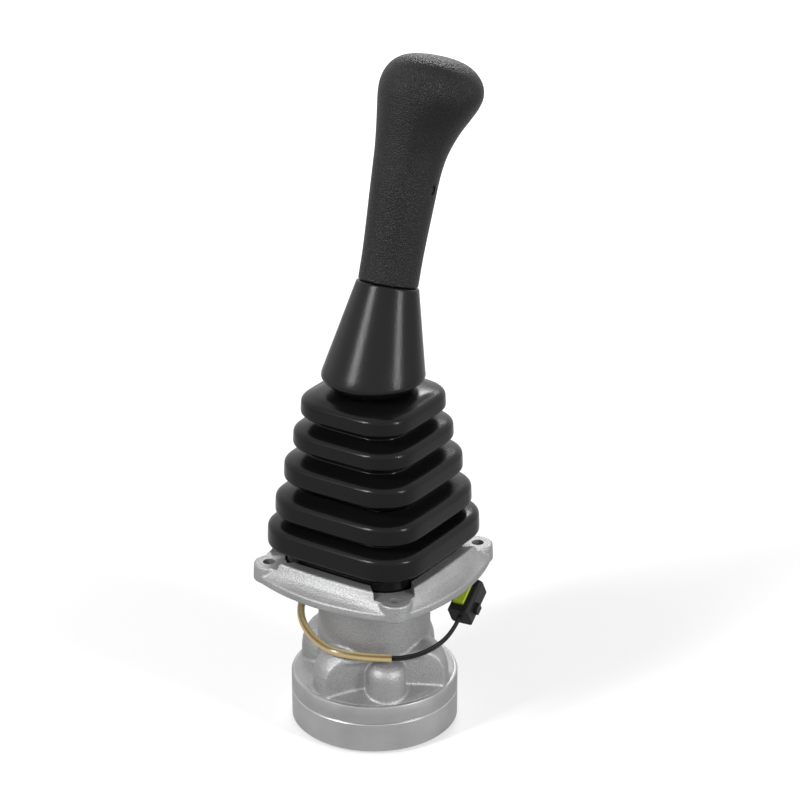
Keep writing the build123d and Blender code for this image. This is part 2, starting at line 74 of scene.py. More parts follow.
def makeCamera():
    a, e = radians(view["azimuth"]), radians(view["elevation"])
    right = Vector((cos(a), sin(a), 0))
    up = Vector((-sin(a) * sin(e), cos(a) * sin(e), cos(e)))
    back = Vector((sin(a) * cos(e), -cos(a) * cos(e), sin(e)))
    place = Vector(view["pivot"]) + view["right"] * right + view["up"] * up + view["distance"] * back
    camera = bpy.data.objects.new("camera", bpy.data.cameras.new("camera"))
    bpy.context.scene.collection.objects.link(camera)
    camera.location = place
    camera.rotation_euler = (Vector(view["aim"]) - place).to_track_quat("-Z", "Y").to_euler()
    camera.data.lens = view["lens"]
    camera.data.clip_end = 20
    bpy.context.scene.camera = camera


def addLamp(name, place, aim, size, power):
    lamp = bpy.data.lights.new(name, "AREA")
    lamp.shape = "RECTANGLE"
    lamp.size, lamp.size_y = size
    lamp.energy = power
    holder = bpy.data.objects.new(name, lamp)
    bpy.context.scene.collection.objects.link(holder)
    holder.location = place
    holder.rotation_euler = (Vector(aim) - Vector(place)).to_track_quat("-Z", "Y").to_euler()


makeCamera()
addLamp("keyLamp", (-0.45, -1.2, 1.0), (0, 0, 0.08), (0.22, 0.8), 17)       # tall strip, front left
addLamp("sideLamp", (1.3, -0.1, 0.6), (0, 0, 0.08), (0.14, 0.9), 11)        # thin strip for the edge highlights
addLamp("backLamp", (-0.6, 1.2, 0.95), (0, 0, 0.1), (0.6, 0.24), 8)
bpy.context.scene.view_settings.view_transform = "Standard"


# shader maths

class Val:
    # one socket of a material, with the usual arithmetic
    def __init__(self, mat, socket):
        self.mat, self.socket = mat, socket

    def step(self, operation, *others):
        return self.mat.node("ShaderNodeMath", {"operation": operation}, (self,) + others)

    def __add__(self, other):
        return self.step("ADD", other)

    __radd__ = __add__

    def __mul__(self, other):
        return self.step("MULTIPLY", other)

    __rmul__ = __mul__

    def __sub__(self, other):
        return self.step("SUBTRACT", other)

    def __rsub__(self, other):
        return self.mat.node("ShaderNodeMath", {"operation": "SUBTRACT"}, (other, self))

    def __pow__(self, other):
        return self.step("POWER", other)

    def clamp(self):
        return self.mat.node("ShaderNodeClamp", {}, (self,))


class Finish:
    # one material and its nodes
    def __init__(self, name):
        self.data = bpy.data.materials.new(name)
        self.data.use_nodes = True
        self.tree = self.data.node_tree
        self.tree.nodes.clear()
        self.out = self.tree.nodes.new("ShaderNodeOutputMaterial")
        self.shader = self.tree.nodes.new("ShaderNodeBsdfPrincipled")
        self.tree.links.new(self.shader.outputs[0], self.out.inputs[0])
        self.coords = self.tree.nodes.new("ShaderNodeTexCoord")

    def give(self, socket, value):
        if isinstance(value, Val):
            self.tree.links.new(value.socket, socket)
        elif value is not None:
            socket.default_value = value

    def node(self, kind, settings=None, values=(), out=0):
        made = self.tree.nodes.new(kind)
        for key, setting in (settings or {}).items():
            setattr(made, key, setting)
        pairs = values.items() if isinstance(values, dict) else enumerate(values)
        for key, value in pairs:
            self.give(made.inputs[key], value)
        return Val(self, made.outputs[out])

    def place(self):
        return Val(self, self.coords.outputs["Object"])

    def noise(self, scale, detail=4, rough=0.55, vector=None):
        return self.node("ShaderNodeTexNoise", {}, {"Vector": vector or self.place(), "Scale": scale,
                                                    "Detail": detail, "Roughness": rough})

    def grain(self, scale, vector=None):
        return self.node("ShaderNodeTexVoronoi", {}, {"Vector": vector or self.place(), "Scale": scale})

    def axis(self, name):
        return self.node("ShaderNodeSeparateXYZ", {}, (self.place(),), "XYZ".index(name))

    def blend(self, amount, first, second):
        made = self.tree.nodes.new("ShaderNodeMix")
        made.data_type = "RGBA"
        self.give(made.inputs[0], amount)
        self.give(made.inputs[6], first)
        self.give(made.inputs[7], second)
        return Val(self, made.outputs[2])

    def bump(self, height, strength, distance):
        return self.node("ShaderNodeBump", {}, {"Height": height, "Strength": strength, "Distance": distance})

    def set(self, **values):
        names = {"colour": "Base Color", "rough": "Roughness", "metal": "Metallic", "normal": "Normal",
                 "coat": "Coat Weight", "spec": "Specular IOR Level"}
        for key, value in values.items():
            self.give(self.shader.inputs[names[key]], value)
        return self


def rgb(r, g, b):
    return (r, g, b, 1)


def castAluminium():
    made = Finish("castAluminium")
    cloud = made.noise(38, 3)
    speck = made.noise(1500, 2)
    pores = made.grain(900)
    tone = (cloud * 0.5 + speck * 0.9 - 0.2).clamp()
    colour = made.blend(tone, rgb(0.2, 0.2, 0.203), rgb(0.52, 0.52, 0.525))
    height = speck * 0.6 + pores * 0.4
    return made.set(colour=colour, metal=0.72, rough=(cloud * 0.16 + 0.42).clamp(),
                    normal=made.bump(height, 0.6, 0.0005)).data


def machinedAluminium():
    made = Finish("machinedAluminium")
    x, y = made.axis("X"), made.axis("Y")
    radius = (x * x + y * y) ** 0.5
    rings = made.node("ShaderNodeMath", {"operation": "SINE"}, (radius * 9000,))
    cloud = made.noise(45, 3)
    colour = made.blend(cloud, rgb(0.37, 0.37, 0.374), rgb(0.56, 0.56, 0.565))
    return made.set(colour=colour, metal=0.85, rough=(cloud * 0.12 + 0.3).clamp(),
                    normal=made.bump(rings * 0.5 + made.noise(1400, 2) * 0.5, 0.25, 0.0002)).data


def turnedCast():
    made = Finish("turnedCast")
    cloud = made.noise(60, 4)
    squeezed = made.node("ShaderNodeMapping", {}, {"Vector": made.place(), "Scale": (60, 60, 4200)})
    lines = made.noise(1.0, 2, 0.5, squeezed)
    speck = made.noise(1300, 2)
    colour = made.blend(cloud, rgb(0.31, 0.31, 0.313), rgb(0.5, 0.5, 0.505))
    return made.set(colour=colour, metal=0.85,
                    rough=(cloud * 0.12 + 0.36).clamp(),
                    normal=made.bump(lines * 0.5 + speck * 0.5, 0.3, 0.0003)).data


def steel(name, dark, light, rough):
    made = Finish(name)
    cloud = made.noise(70, 4)
    return made.set(colour=made.blend(cloud, rgb(*dark), rgb(*light)), metal=1.0,
                    rough=(cloud * 0.15 + rough).clamp(),
                    normal=made.bump(made.noise(1800, 2), 0.15, 0.0002)).data


def bootRubber():
    made = Finish("bootRubber")
    cloud = made.noise(26, 5)
    fine = made.noise(1100, 3)
    dust = (made.noise(9, 4) - 0.42) * 1.4
    colour = made.blend((dust * 0.5 + 0.1).clamp(), rgb(0.004, 0.004, 0.0042), rgb(0.011, 0.011, 0.0115))
    return made.set(colour=colour, rough=(cloud * 0.12 + 0.14).clamp(), spec=0.2,
                    normal=made.bump(fine * 0.7 + cloud * 0.3, 0.22, 0.0003)).data


def coverPlastic():
    made = Finish("coverPlastic")
    cloud = made.noise(30, 4)
    pebble = made.grain(1300)
    return made.set(colour=made.blend(cloud, rgb(0.005, 0.005, 0.0054), rgb(0.011, 0.011, 0.0115)),
                    spec=0.22, rough=(cloud * 0.1 + 0.2).clamp(), normal=made.bump(pebble, 0.16, 0.0003)).data


def gripPlastic():
    made = Finish("gripPlastic")
    cloud = made.noise(24, 4)
    pebble = made.grain(1250)
    fine = made.noise(2200, 2)
    worn = ((made.noise(14, 5) - 0.5) * 1.6).clamp()
    return made.set(colour=made.blend((cloud * 0.6 + worn * 0.4).clamp(), rgb(0.005, 0.005, 0.0052),
                                      rgb(0.014, 0.014, 0.0145)),
                    spec=0.22, rough=(0.34 - worn * 0.08 + cloud * 0.08).clamp(),
                    normal=made.bump(pebble * 0.75 + fine * 0.25, 0.9, 0.0005)).data


def plainBlack(name, level, rough):
    made = Finish(name)
    cloud = made.noise(60, 3)
    return made.set(colour=made.blend(cloud, rgb(level, level, level), rgb(level * 1.8, level * 1.8, level * 1.85)),
                    spec=0.2,
                    rough=(cloud * 0.12 + rough).clamp(), normal=made.bump(made.noise(1500, 2), 0.2, 0.0003)).data


def sleevePlastic():
    made = Finish("sleevePlastic")
    uv = Val(made, made.coords.outputs["UV"])
    around = made.node("ShaderNodeSeparateXYZ", {}, (uv,), 1)
    wave = made.node("ShaderNodeMath", {"operation": "COSINE"}, (around * (6 * pi) + 1.9,))
    wires = (wave * 0.5 + 0.5) ** 2.2
    cloud = made.noise(120, 3)
    colour = made.blend((wires * 0.85 + cloud * 0.15).clamp(), rgb(0.6, 0.46, 0.2), rgb(0.13, 0.08, 0.025))
    return made.set(colour=colour, rough=(cloud * 0.1 + 0.2).clamp(), coat=0.4,
                    normal=made.bump(wires * -1.0, 0.3, 0.0006)).data


def lockPlastic():
    made = Finish("lockPlastic")
    cloud = made.noise(90, 3)
    return made.set(colour=made.blend(cloud, rgb(0.36, 0.47, 0.02), rgb(0.55, 0.66, 0.05)),
                    rough=(cloud * 0.1 + 0.34).clamp(), normal=made.bump(made.noise(1200, 2), 0.1, 0.0002)).data


def floorPaper():
    made = Finish("floorPaper")
    made.set(colour=rgb(0.5, 0.5, 0.5), rough=0.9, spec=0.1)
    x, y = made.axis("X"), made.axis("Y")
    away = (((x * x + y * y) ** 0.5 - 0.2) * 1.1).clamp()
    seen = made.node("ShaderNodeLightPath", {}, {}, 0)
    glossy = made.node("ShaderNodeLightPath", {}, {}, 3)
    made.shader.inputs["Emission Color"].default_value = rgb(1, 1, 1)
    made.give(made.shader.inputs["Emission Strength"], (seen + glossy * 0.3).clamp() * (away * 0.4 + 0.56))
    return made.data


finishes = {"cast": castAluminium(), "machined": machinedAluminium(), "turnedCast": turnedCast(),
            "steel": steel("machinedSteel", (0.42, 0.42, 0.43), (0.6, 0.6, 0.6), 0.26),
            "darkSteel": steel("darkSteel", (0.03, 0.03, 0.033), (0.06, 0.06, 0.063), 0.36),
            "springSteel": steel("springSteel", (0.3, 0.3, 0.31), (0.45, 0.45, 0.46), 0.32),
            "bronze": steel("bronze", (0.42, 0.27, 0.12), (0.56, 0.4, 0.2), 0.3),
            "boot": bootRubber(), "cover": coverPlastic(), "grip": gripPlastic(),
            "plug": plainBlack("plugRubber", 0.013, 0.5), "seal": plainBlack("sealRubber", 0.014, 0.42),
            "housing": plainBlack("housingPlastic", 0.012, 0.36), "wire": plainBlack("wireSkin", 0.01, 0.34),
            "sleeve": sleevePlastic(), "lock": lockPlastic()}
print("finishes made", len(finishes))


# room

def makeRoom():
    mesh = bpy.data.meshes.new("floor")
    mesh.from_pydata([(-4, -4, floorZ), (4, -4, floorZ), (4, 4, floorZ), (-4, 4, floorZ)], [], [(0, 1, 2, 3)])
    floor = bpy.data.objects.new("floor", mesh)
    bpy.context.scene.collection.objects.link(floor)
    mesh.materials.append(floorPaper())
    world = bpy.data.worlds.new("studio")
    bpy.context.scene.world = world
    world.use_nodes = True
    tree = world.node_tree
    tree.nodes.clear()
    out = tree.nodes.new("ShaderNodeOutputWorld")
    seen = tree.nodes.new("ShaderNodeBackground")
    seen.inputs[0].default_value = rgb(1, 1, 1)
    lit = tree.nodes.new("ShaderNodeBackground")
    lit.inputs[0].default_value = rgb(0.98, 0.99, 1)
    lit.inputs[1].default_value = 0.24
    path = tree.nodes.new("ShaderNodeLightPath")
    either = tree.nodes.new("ShaderNodeMath")
    either.operation = "MAXIMUM"
    tree.links.new(path.outputs["Is Camera Ray"], either.inputs[0])
    tree.links.new(path.outputs["Is Transmission Ray"], either.inputs[1])
    mix = tree.nodes.new("ShaderNodeMixShader")
    glossy = tree.nodes.new("ShaderNodeMath")
    glossy.operation = "MAXIMUM"
    tree.links.new(either.outputs[0], glossy.inputs[0])
    tree.links.new(path.outputs["Is Glossy Ray"], glossy.inputs[1])
    tree.links.new(glossy.outputs[0], mix.inputs[0])
    tree.links.new(lit.outputs[0], mix.inputs[1])
    tree.links.new(seen.outputs[0], mix.inputs[2])
    tree.links.new(mix.outputs[0], out.inputs[0])


makeRoom()


# mesh helpers

def link(name, mesh, finish, smooth=True):
    piece = bpy.data.objects.new(name, mesh)
    bpy.context.scene.collection.objects.link(piece)
    mesh.materials.clear()
    mesh.materials.append(finish)
    if smooth:
        mesh.shade_smooth()
    return piece


def settle(piece):
    # turns the modifiers into plain mesh
    bpy.context.view_layer.update()
    seen = piece.evaluated_get(bpy.context.evaluated_depsgraph_get())
    mesh = bpy.data.meshes.new_from_object(seen)
    old = piece.data
    piece.modifiers.clear()
    piece.data = mesh
    if old.users == 0 and isinstance(old, bpy.types.Mesh):
        bpy.data.meshes.remove(old)
    return piece


def skin(name, rings, finish, closedEnds=True):
    # a closed surface through rings that all have the same number of points
    mesh = bpy.data.meshes.new(name)
    count = len(rings[0])
    points = [p for ring in rings for p in ring]
    faces = []
    for i in range(len(rings) - 1):
        for j in range(count):
            k = (j + 1) % count
            faces.append((i * count + j, i * count + k, (i + 1) * count + k, (i + 1) * count + j))
    if closedEnds:
        faces.append(tuple(reversed(range(count))))
        faces.append(tuple((len(rings) - 1) * count + j for j in range(count)))
    mesh.from_pydata(points, [], faces)
    form = bmesh.new()
    form.from_mesh(mesh)
    bmesh.ops.recalc_face_normals(form, faces=form.faces)
    form.to_mesh(mesh)
    form.free()
    return link(name, mesh, finish)


def smoothRun(stations, parts):
    # soft curve through rows of numbers, a few rows between each pair
    rows = []
    last = len(stations) - 1
    for i in range(last):
        a, b = stations[max(i - 1, 0)], stations[i]
        c, d = stations[i + 1], stations[min(i + 2, last)]
        for k in range(parts):
            t = k / parts
            rows.append(tuple(0.5 * (2 * q + (r - p) * t + (2 * p - 5 * q + 4 * r - s) * t * t
                                     + (3 * q - p - 3 * r + s) * t ** 3) for p, q, r, s in zip(a, b, c, d)))
    rows.append(tuple(stations[-1]))
    return rows


def softSquare(half, corner, z, steps=5):
    points = []
    for quarter in range(4):
        turn = Matrix.Rotation(quarter * pi / 2, 3, "Z")
        for k in range(steps + 1):
            a = pi / 2 * k / steps
            flat = Vector((half - corner + corner * cos(a), half - corner + corner * sin(a), 0))
            spot = turn @ flat
            points.append(Vector((spot.x * mm, spot.y * mm, z * mm)))
        side = turn @ Vector((0, half, 0))
        points.append(Vector((side.x * mm, side.y * mm, z * mm)))
    return points


# wiring lead

lead = {"sleeve": [(-14.5, 25.1, -20), (-21.5, 37.2, -20), (-40.5, 21.5, -20.5), (-43.0, -6.0, -22),
                   (-34.5, -26.5, -28), (-16.0, -38.0, -34.5), (7.0, -40.5, -37), (29.5, -26.5, -37.2)],
        "wires": [(29.5, -26.5, -37.2), (37.0, -21.833, -37.267), (46.5, -8.5, -34), (49.5, 5.5, -29),
                  (48.5, 14.5, -23.5)],
        "sleeveSize": 0.0044, "wireSize": 0.0032, "sleeveLength": 0.155, "wireLength": 0.051}


def routeCurve(name, points, radius):
    data = bpy.data.curves.new(name, "CURVE")
    data.dimensions = "3D"
    data.resolution_u = 14
    spline = data.splines.new("NURBS")
    spline.points.add(len(points) - 1)
    for point, spot in zip(spline.points, points):
        point.co = (spot[0] * mm, spot[1] * mm, spot[2] * mm, 1)
    spline.order_u = 3
    spline.use_endpoint_u = True
    data.bevel_depth = radius
    data.bevel_resolution = 5
    data.use_fill_caps = True
    piece = bpy.data.objects.new(name, data)
    bpy.context.scene.collection.objects.link(piece)
    return piece


def routePoints(points):
    line = routeCurve("routeLine", points, 0)
    line.data.use_fill_caps = False
    bpy.context.view_layer.update()
    mesh = bpy.data.meshes.new_from_object(line.evaluated_get(bpy.context.evaluated_depsgraph_get()))
    spots = [v.co.copy() for v in mesh.vertices]
    bpy.data.meshes.remove(mesh)
    bpy.data.objects.remove(line)
    return spots


def tubeRings(path, offset, radius, count=14):
    rings = []
    for i, spot in enumerate(path):
        ahead = (path[min(i + 1, len(path) - 1)] - path[max(i - 1, 0)]).normalized()
        side = ahead.cross(Vector((0, 0, 1))).normalized()
        lift = side.cross(ahead).normalized()
        centre = spot + lift * offset[1] + side * offset[0]
        rings.append([centre + side * (radius * cos(2 * pi * k / count)) + lift * (radius * sin(2 * pi * k / count))
                      for k in range(count)])
    return rings


def makeLead():
    sleeve = routeCurve("leadSleeve", lead["sleeve"], lead["sleeveSize"] / 2)
    sleeve.data.materials.append(finishes["sleeve"])
    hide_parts("harness_sleeve")
    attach(sleeve, "valve")
    path = routePoints(lead["wires"])
    half = lead["wireSize"] / 4
    first = skin("wireOne", tubeRings(path, (0, half), half), finishes["wire"])
    second = skin("wireTwo", tubeRings(path, (0, -half), half), finishes["wire"])
    form = bmesh.new()
    form.from_mesh(first.data)
    form.from_mesh(second.data)
    pair = bpy.data.meshes.new("leadWires")
    form.to_mesh(pair)
    form.free()
    bpy.data.objects.remove(first)
    bpy.data.objects.remove(second)
    wires = link("leadWires", pair, finishes["wire"])
    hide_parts("harness_wires")
    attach(wires, "valve")
    print("lead laid")


makeLead()


# bellows boot, in two pieces that meet in a groove

boot = {"folds": [(19.5, 34.5, 50.0, 24.0), (38.5, 52.0, 46.4, 23.0), (59.0, 72.5, 42.4, 22.0),
                  (79.0, 91.0, 38.3, 21.0), (97.0, 109.0, 34.8, 20.0)],
        "wall": 1.8, "grooveDepth": 7.6, "meet": 55.5}


def foldRows(low, high, half, corner):
    return [(low + 0.2, half - 4.6, corner - 3.0), (low + 0.9, half - 1.6, corner - 1.0),
            (low + 2.4, half - 0.1, corner), (low + 3.4, half, corner),
            (high - 3.4, half - 0.2, corner), (high - 2.2, half - 0.4, corner),
            (high - 0.8, half - 1.9, corner - 1.0),
            (high, half - 4.8, corner - 3.2)]


def bootRows():
    rows = [(6.05, 41.2, 20.3), (8.0, 41.3, 20.4), (14.0, 41.3, 20.4), (16.6, 41.0, 20.2)]
    folds = boot["folds"]
    for i, (low, high, half, corner) in enumerate(folds):
        if i:
            middle = (folds[i - 1][1] + low) / 2
            deep = half - boot["grooveDepth"]
            rows += [(middle - 0.9, deep + 0.5, corner - 5), (middle, deep, corner - 5.2),
                     (middle + 0.9, deep + 0.4, corner - 5)]
        rows += foldRows(low, high, half, corner)
    rows += [(110.2, 27.5, 17.5), (111.1, 24.0, 20), (111.4, 21.0, 20), (111.4, 14.0, 13.5), (111.3, 11.6, 11.4)]
    return rows


def bootPiece(name, rows):
    piece = skin(name, [softSquare(half, corner, z) for z, half, corner in rows], finishes["boot"], False)
    wall = piece.modifiers.new("wall", "SOLIDIFY")
    wall.thickness = boot["wall"] * mm
    wall.offset = -1
    soft = piece.modifiers.new("soft", "SUBSURF")
    soft.levels = soft.render_levels = 2
    settle(piece)
    piece.data.shade_smooth()
    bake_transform(piece)
    return piece


def makeBoot():
    rows = bootRows()
    meet = min(range(len(rows)), key=lambda i: abs(rows[i][0] - boot["meet"]) + (0 if rows[i][1] < 38 else 9))
    low = bootPiece("bootLower", rows[:meet + 1])
    high = bootPiece("bootUpper", rows[meet:])
    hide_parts("boot")
    print("boot moulded", len(low.data.vertices) + len(high.data.vertices))


makeBoot()


# cone cover and grip, along the leaning axis; grip stations are height, half width, half depth, shift

cover = {"foot": [(19.2, 112.1), (20.6, 112.1), (21.4, 112.6), (24.9, 115.4), (28.0, 118.2), (28.7, 119.0),
                  (28.8, 119.8), (28.6, 121.0)],
         "lip": [(17.6, -0.5), (17.1, 0.1), (16.4, 0.25), (12.0, 0.2)],
         "topAt": 49.7, "topSize": 17.7, "topDrop": 1.2, "steps": 12}


def coneRings(count=96):
    rings = []
    for radius, z in cover["foot"]:
        rings.append([Vector((radius * cos(2 * pi * k / count), radius * sin(2 * pi * k / count), z)) * mm
                      for k in range(count)])
    footSize, footTop = cover["foot"][-1]
    topCentre = bendPoint + leanUp * (cover["topAt"] * mm)
    topSize = cover["topSize"] * mm
    for step in range(1, cover["steps"] + 1):
        t = step / cover["steps"]
        ring = []
        for k in range(count):
            a = 2 * pi * k / count
            low = Vector((footSize * cos(a), footSize * sin(a), footTop)) * mm
            high = (topCentre + Vector((1, 0, 0)) * (topSize * cos(a)) + leanSide * (topSize * sin(a))
                    - leanUp * (cover["topDrop"] * mm))
            ring.append(low.lerp(high, t))
        rings.append(ring)
    for radius, lift in cover["lip"]:
        rings.append([topCentre + (Vector((1, 0, 0)) * (radius * cos(2 * pi * k / count))
                                   + leanSide * (radius * sin(2 * pi * k / count)) + leanUp * lift) * mm
                      for k in range(count)])
    return rings


def makeCover():
    piece = skin("coneCover", coneRings(), finishes["cover"])
    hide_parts("cone_cover")
    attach(piece, "lever")


grip = {"stations": [(50.3, 15.4, 15.4, 0), (50.9, 16.4, 16.4, 0), (52.5, 16.7, 16.7, 0), (66, 16.8, 16.7, 0),
                     (82, 17.4, 17.3, 0), (97, 18.1, 18.0, 0), (112, 18.9, 18.5, 0.1), (124, 20.3, 19.4, 0.9),
                     (136, 23.4, 21.0, 2.7), (146, 27.0, 22.9, 5.0), (153, 29.3, 24.0, 6.5), (159, 30.0, 23.8, 7.3),
                     (165, 28.4, 22.4, 7.5), (170, 24.6, 19.6, 7.2), (173.6, 19.2, 15.6, 6.8),
                     (175.6, 13.0, 10.6, 6.4), (176.5, 6.6, 5.4, 6.2), (176.7, 0.6, 0.5, 6.2)],
        "screwAt": 105, "side": 18.5, "holeSize": 2.6, "holeDepth": 8}


def gripRings(count=72):
    rings = []
    for s, wide, deep, shift in smoothRun(grip["stations"], 5):
        centre = bendPoint + leanUp * (s * mm)
        rings.append([centre + Vector(((shift + wide * cos(2 * pi * k / count)) * mm, 0, 0))
                      + leanSide * (deep * sin(2 * pi * k / count) * mm) for k in range(count)])
    return rings


def makeGrip():
    piece = skin("gripHandle", gripRings(), finishes["grip"])
    hole = bmesh.new()
    holeAt = bendPoint + leanUp * (grip["screwAt"] * mm) + Vector((grip["side"] * mm, 0, 0))
    turn = Matrix.Translation(holeAt) @ Matrix.Rotation(pi / 2, 4, "Y")
    bmesh.ops.create_cone(hole, cap_ends=True, segments=32, radius1=grip["holeSize"] * mm,
                          radius2=grip["holeSize"] * mm, depth=grip["holeDepth"] * mm, matrix=turn)
    mesh = bpy.data.meshes.new("screwHole")
    hole.to_mesh(mesh)
    hole.free()
    cutter = link("screwHole", mesh, finishes["grip"], False)
    cut = piece.modifiers.new("hole", "BOOLEAN")
    cut.object = cutter
    cut.operation = "DIFFERENCE"
    settle(piece)
    bpy.data.objects.remove(cutter)
    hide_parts("grip")
    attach(piece, "lever")


makeCover()
makeGrip()
print("cover and grip shaped")


# shipping plugs, laid out on the ports by a node tree

def scatterTree(name, pattern, spots, finish, cadNode, scale=1.0):
    group = bpy.data.node_groups.new(name, "GeometryNodeTree")
    group.interface.new_socket("Geometry", in_out="INPUT", socket_type="NodeSocketGeometry")
    size = group.interface.new_socket("Size", in_out="INPUT", socket_type="NodeSocketFloat")
    group.interface.new_socket("Geometry", in_out="OUTPUT", socket_type="NodeSocketGeometry")
    start = group.nodes.new("NodeGroupInput")
    end = group.nodes.new("NodeGroupOutput")
    source = group.nodes.new("GeometryNodeObjectInfo")
    source.inputs["Object"].default_value = pattern
    put = group.nodes.new("GeometryNodeInstanceOnPoints")
    real = group.nodes.new("GeometryNodeRealizeInstances")
    paint = group.nodes.new("GeometryNodeSetMaterial")
    paint.inputs["Material"].default_value = finish
    group.links.new(start.outputs["Geometry"], put.inputs["Points"])
    group.links.new(source.outputs["Geometry"], put.inputs["Instance"])
    group.links.new(start.outputs["Size"], put.inputs["Scale"])
    group.links.new(put.outputs[0], real.inputs[0])
    group.links.new(real.outputs[0], paint.inputs["Geometry"])
    group.links.new(paint.outputs[0], end.inputs[0])
    mesh = bpy.data.meshes.new(name)
    mesh.from_pydata(spots, [], [])
    piece = link(name, mesh, finish, False)
    layout = piece.modifiers.new("layout", "NODES")
    layout.node_group = group
    layout[size.identifier] = scale
    settle(piece)
    bpy.data.objects.remove(pattern)
    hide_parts(cadNode)
    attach(piece, "valve")
    return piece


def turned(name, profile, finish, count=56):
    rings = [[Vector((r * cos(2 * pi * k / count), r * sin(2 * pi * k / count), z)) * mm for k in range(count)]
             for r, z in profile]
    return skin(name, rings, finish)


plugs = {"ports": [(34.7, 17), (34.7, 73), (34.7, 197), (34.7, 253), (29.5, -45), (29.5, 135)],
         "profile": [(0.3, -90.4), (5.0, -90.4), (5.4, -90.7), (5.5, -93.2), (5.9, -93.75), (6.6, -93.7),
                     (8.2, -93.45), (9.4, -93.6), (10.0, -94.0), (10.5, -93.8),
                     (10.65, -93.3), (10.6, -92.4), (10.3, -92.06),
                     (8.2, -92.04), (7.9, -91.8), (7.9, -88.0), (7.5, -87.4), (7.9, -86.8), (7.9, -83.0),
                     (7.0, -82.0), (0.3, -82.0)]}


def makePlugs():
    pattern = turned("plugPattern", plugs["profile"], finishes["plug"])
    spots = [(r * cos(radians(a)) * mm, r * sin(radians(a)) * mm, 0) for r, a in plugs["ports"]]
    scatterTree("shippingPlugs", pattern, spots, finishes["plug"], "port_plugs")
    print("plugs set")


makePlugs()


# return springs, wound between casing and spring seat

spring = {"coil": 7.0, "wire": 0.75, "low": -49.0, "high": -20.4, "turns": 4, "seat": -19.6, "foot": -49.8,
          "crowd": 0.045}                         # how far the end coils draw together


def makeSpring(spot):
    node = nodes["return_spring_" + spot]
    xs = [(node.matrix_world @ v.co).x for v in node.data.vertices]
    ys = [(node.matrix_world @ v.co).y for v in node.data.vertices]
    centre = Vector(((min(xs) + max(xs)) / 2, (min(ys) + max(ys)) / 2, 0))
    steps = spring["turns"] * 24
    path = []
    for k in range(steps + 1):
        a, t = 2 * pi * k / 24, k / steps
        t -= spring["crowd"] * sin(2 * pi * t)
        z = spring["low"] + (spring["high"] - spring["low"]) * t
        path.append(centre + Vector((spring["coil"] * cos(a), spring["coil"] * sin(a), z)) * mm)
    piece = skin("coilSpring_" + spot, tubeRings(path, (0, 0), spring["wire"] * mm, 10), finishes["springSteel"])
    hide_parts("return_spring_" + spot)
    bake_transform(piece)


for spot in ("px", "py", "nx", "ny"):
    makeSpring(spot)
print("springs wound")


# casting: base with lobes, neck, and square flange

casting = {"rim": 47.8, "seam": -74.5, "rimTop": -63.3, "wall": 31.2, "valley": 26.5, "lobeAt": 26.5,
           "lobe": 20.2, "lobeTop": -35.6, "neck": 32.0, "bossAt": 34.0, "boss": 11.3, "voxel": 0.75,
           "padAt": 42.0, "pad": 9.5, "side": 59.0, "ridge": 14.0, "pocket": 42.1,
           "root": -66, "ledge": -59.2, "blockHigh": 25, "blockAt": -54.3,
           "lip": (3.0, 45, 1.8), "lipAt": -42.2, "rib": (14, 1.1, 15), "ribAt": -58.5,
           "lobeDome": [(0.6, 15.8), (2.2, 11.2), (4.8, 7.2), (8.4, 3.8), (12.8, 1.3)],       # inward, below the top
           "bossDome": [(1, -50), (0.96, -47.2), (0.84, -44.6), (0.62, -42.8), (0.3, -41.9)],
           "front": (-45, 135),                    # turns of the two walls with a boss
           "chambers": 18.9, "chamber": 10.05, "spoolBore": 6.05, "stem": 5.0,
           "holeAt": 42.5, "hole": 3.5, "recess": 38.0, "notchTurn": 104,
           "leadHole": 4.42, "leadAt": (-14.9, 25.82, -20), "leadWay": (-0.5, 0.866, 0)}
fourSides = ((1, 0), (-1, 0), (0, 1), (0, -1))


def addRound(form, low, high, z0, z1, x=0, y=0, sides=72):
    place = Matrix.Translation(Vector((x, y, (z0 + z1) / 2)) * mm)
    bmesh.ops.create_cone(form, cap_ends=True, segments=sides, radius1=low * mm, radius2=high * mm,
                          depth=(z1 - z0) * mm, matrix=place)


def addBlock(form, size, centre, turn=0):
    place = (Matrix.Rotation(radians(turn), 4, "Z") @ Matrix.Translation(Vector(centre) * mm)
             @ Matrix.Diagonal(Vector((size[0] * mm, size[1] * mm, size[2] * mm, 1))))
    bmesh.ops.create_cube(form, size=1, matrix=place)


def addLoft(form, outlines):
    count = len(outlines[0])
    rows = [[form.verts.new(p) for p in outline] for outline in outlines]
    for low, high in zip(rows, rows[1:]):
        for j in range(count):
            k = (j + 1) % count
            form.faces.new((low[j], low[k], high[k], high[j]))
    form.faces.new(list(reversed(rows[0])))
    form.faces.new(rows[-1])


def asPiece(form, name, finish):
    bmesh.ops.recalc_face_normals(form, faces=form.faces)
    mesh = bpy.data.meshes.new(name)
    form.to_mesh(mesh)
    form.free()
    return link(name, mesh, finish, False)


def fuse(piece, voxel, rounds):
    melt = piece.modifiers.new("melt", "REMESH")
    melt.mode = "VOXEL"
    melt.voxel_size = voxel * mm
    ease = piece.modifiers.new("ease", "SMOOTH")
    ease.factor = 0.5
    ease.iterations = rounds
    return settle(piece)


def cutWith(piece, form):
    tool = asPiece(form, "cutter", finishes["cast"])
    cut = piece.modifiers.new("cut", "BOOLEAN")
    cut.object = tool
    cut.operation = "DIFFERENCE"
    cut.solver = "MANIFOLD"
    settle(piece)
    bpy.data.objects.remove(tool)


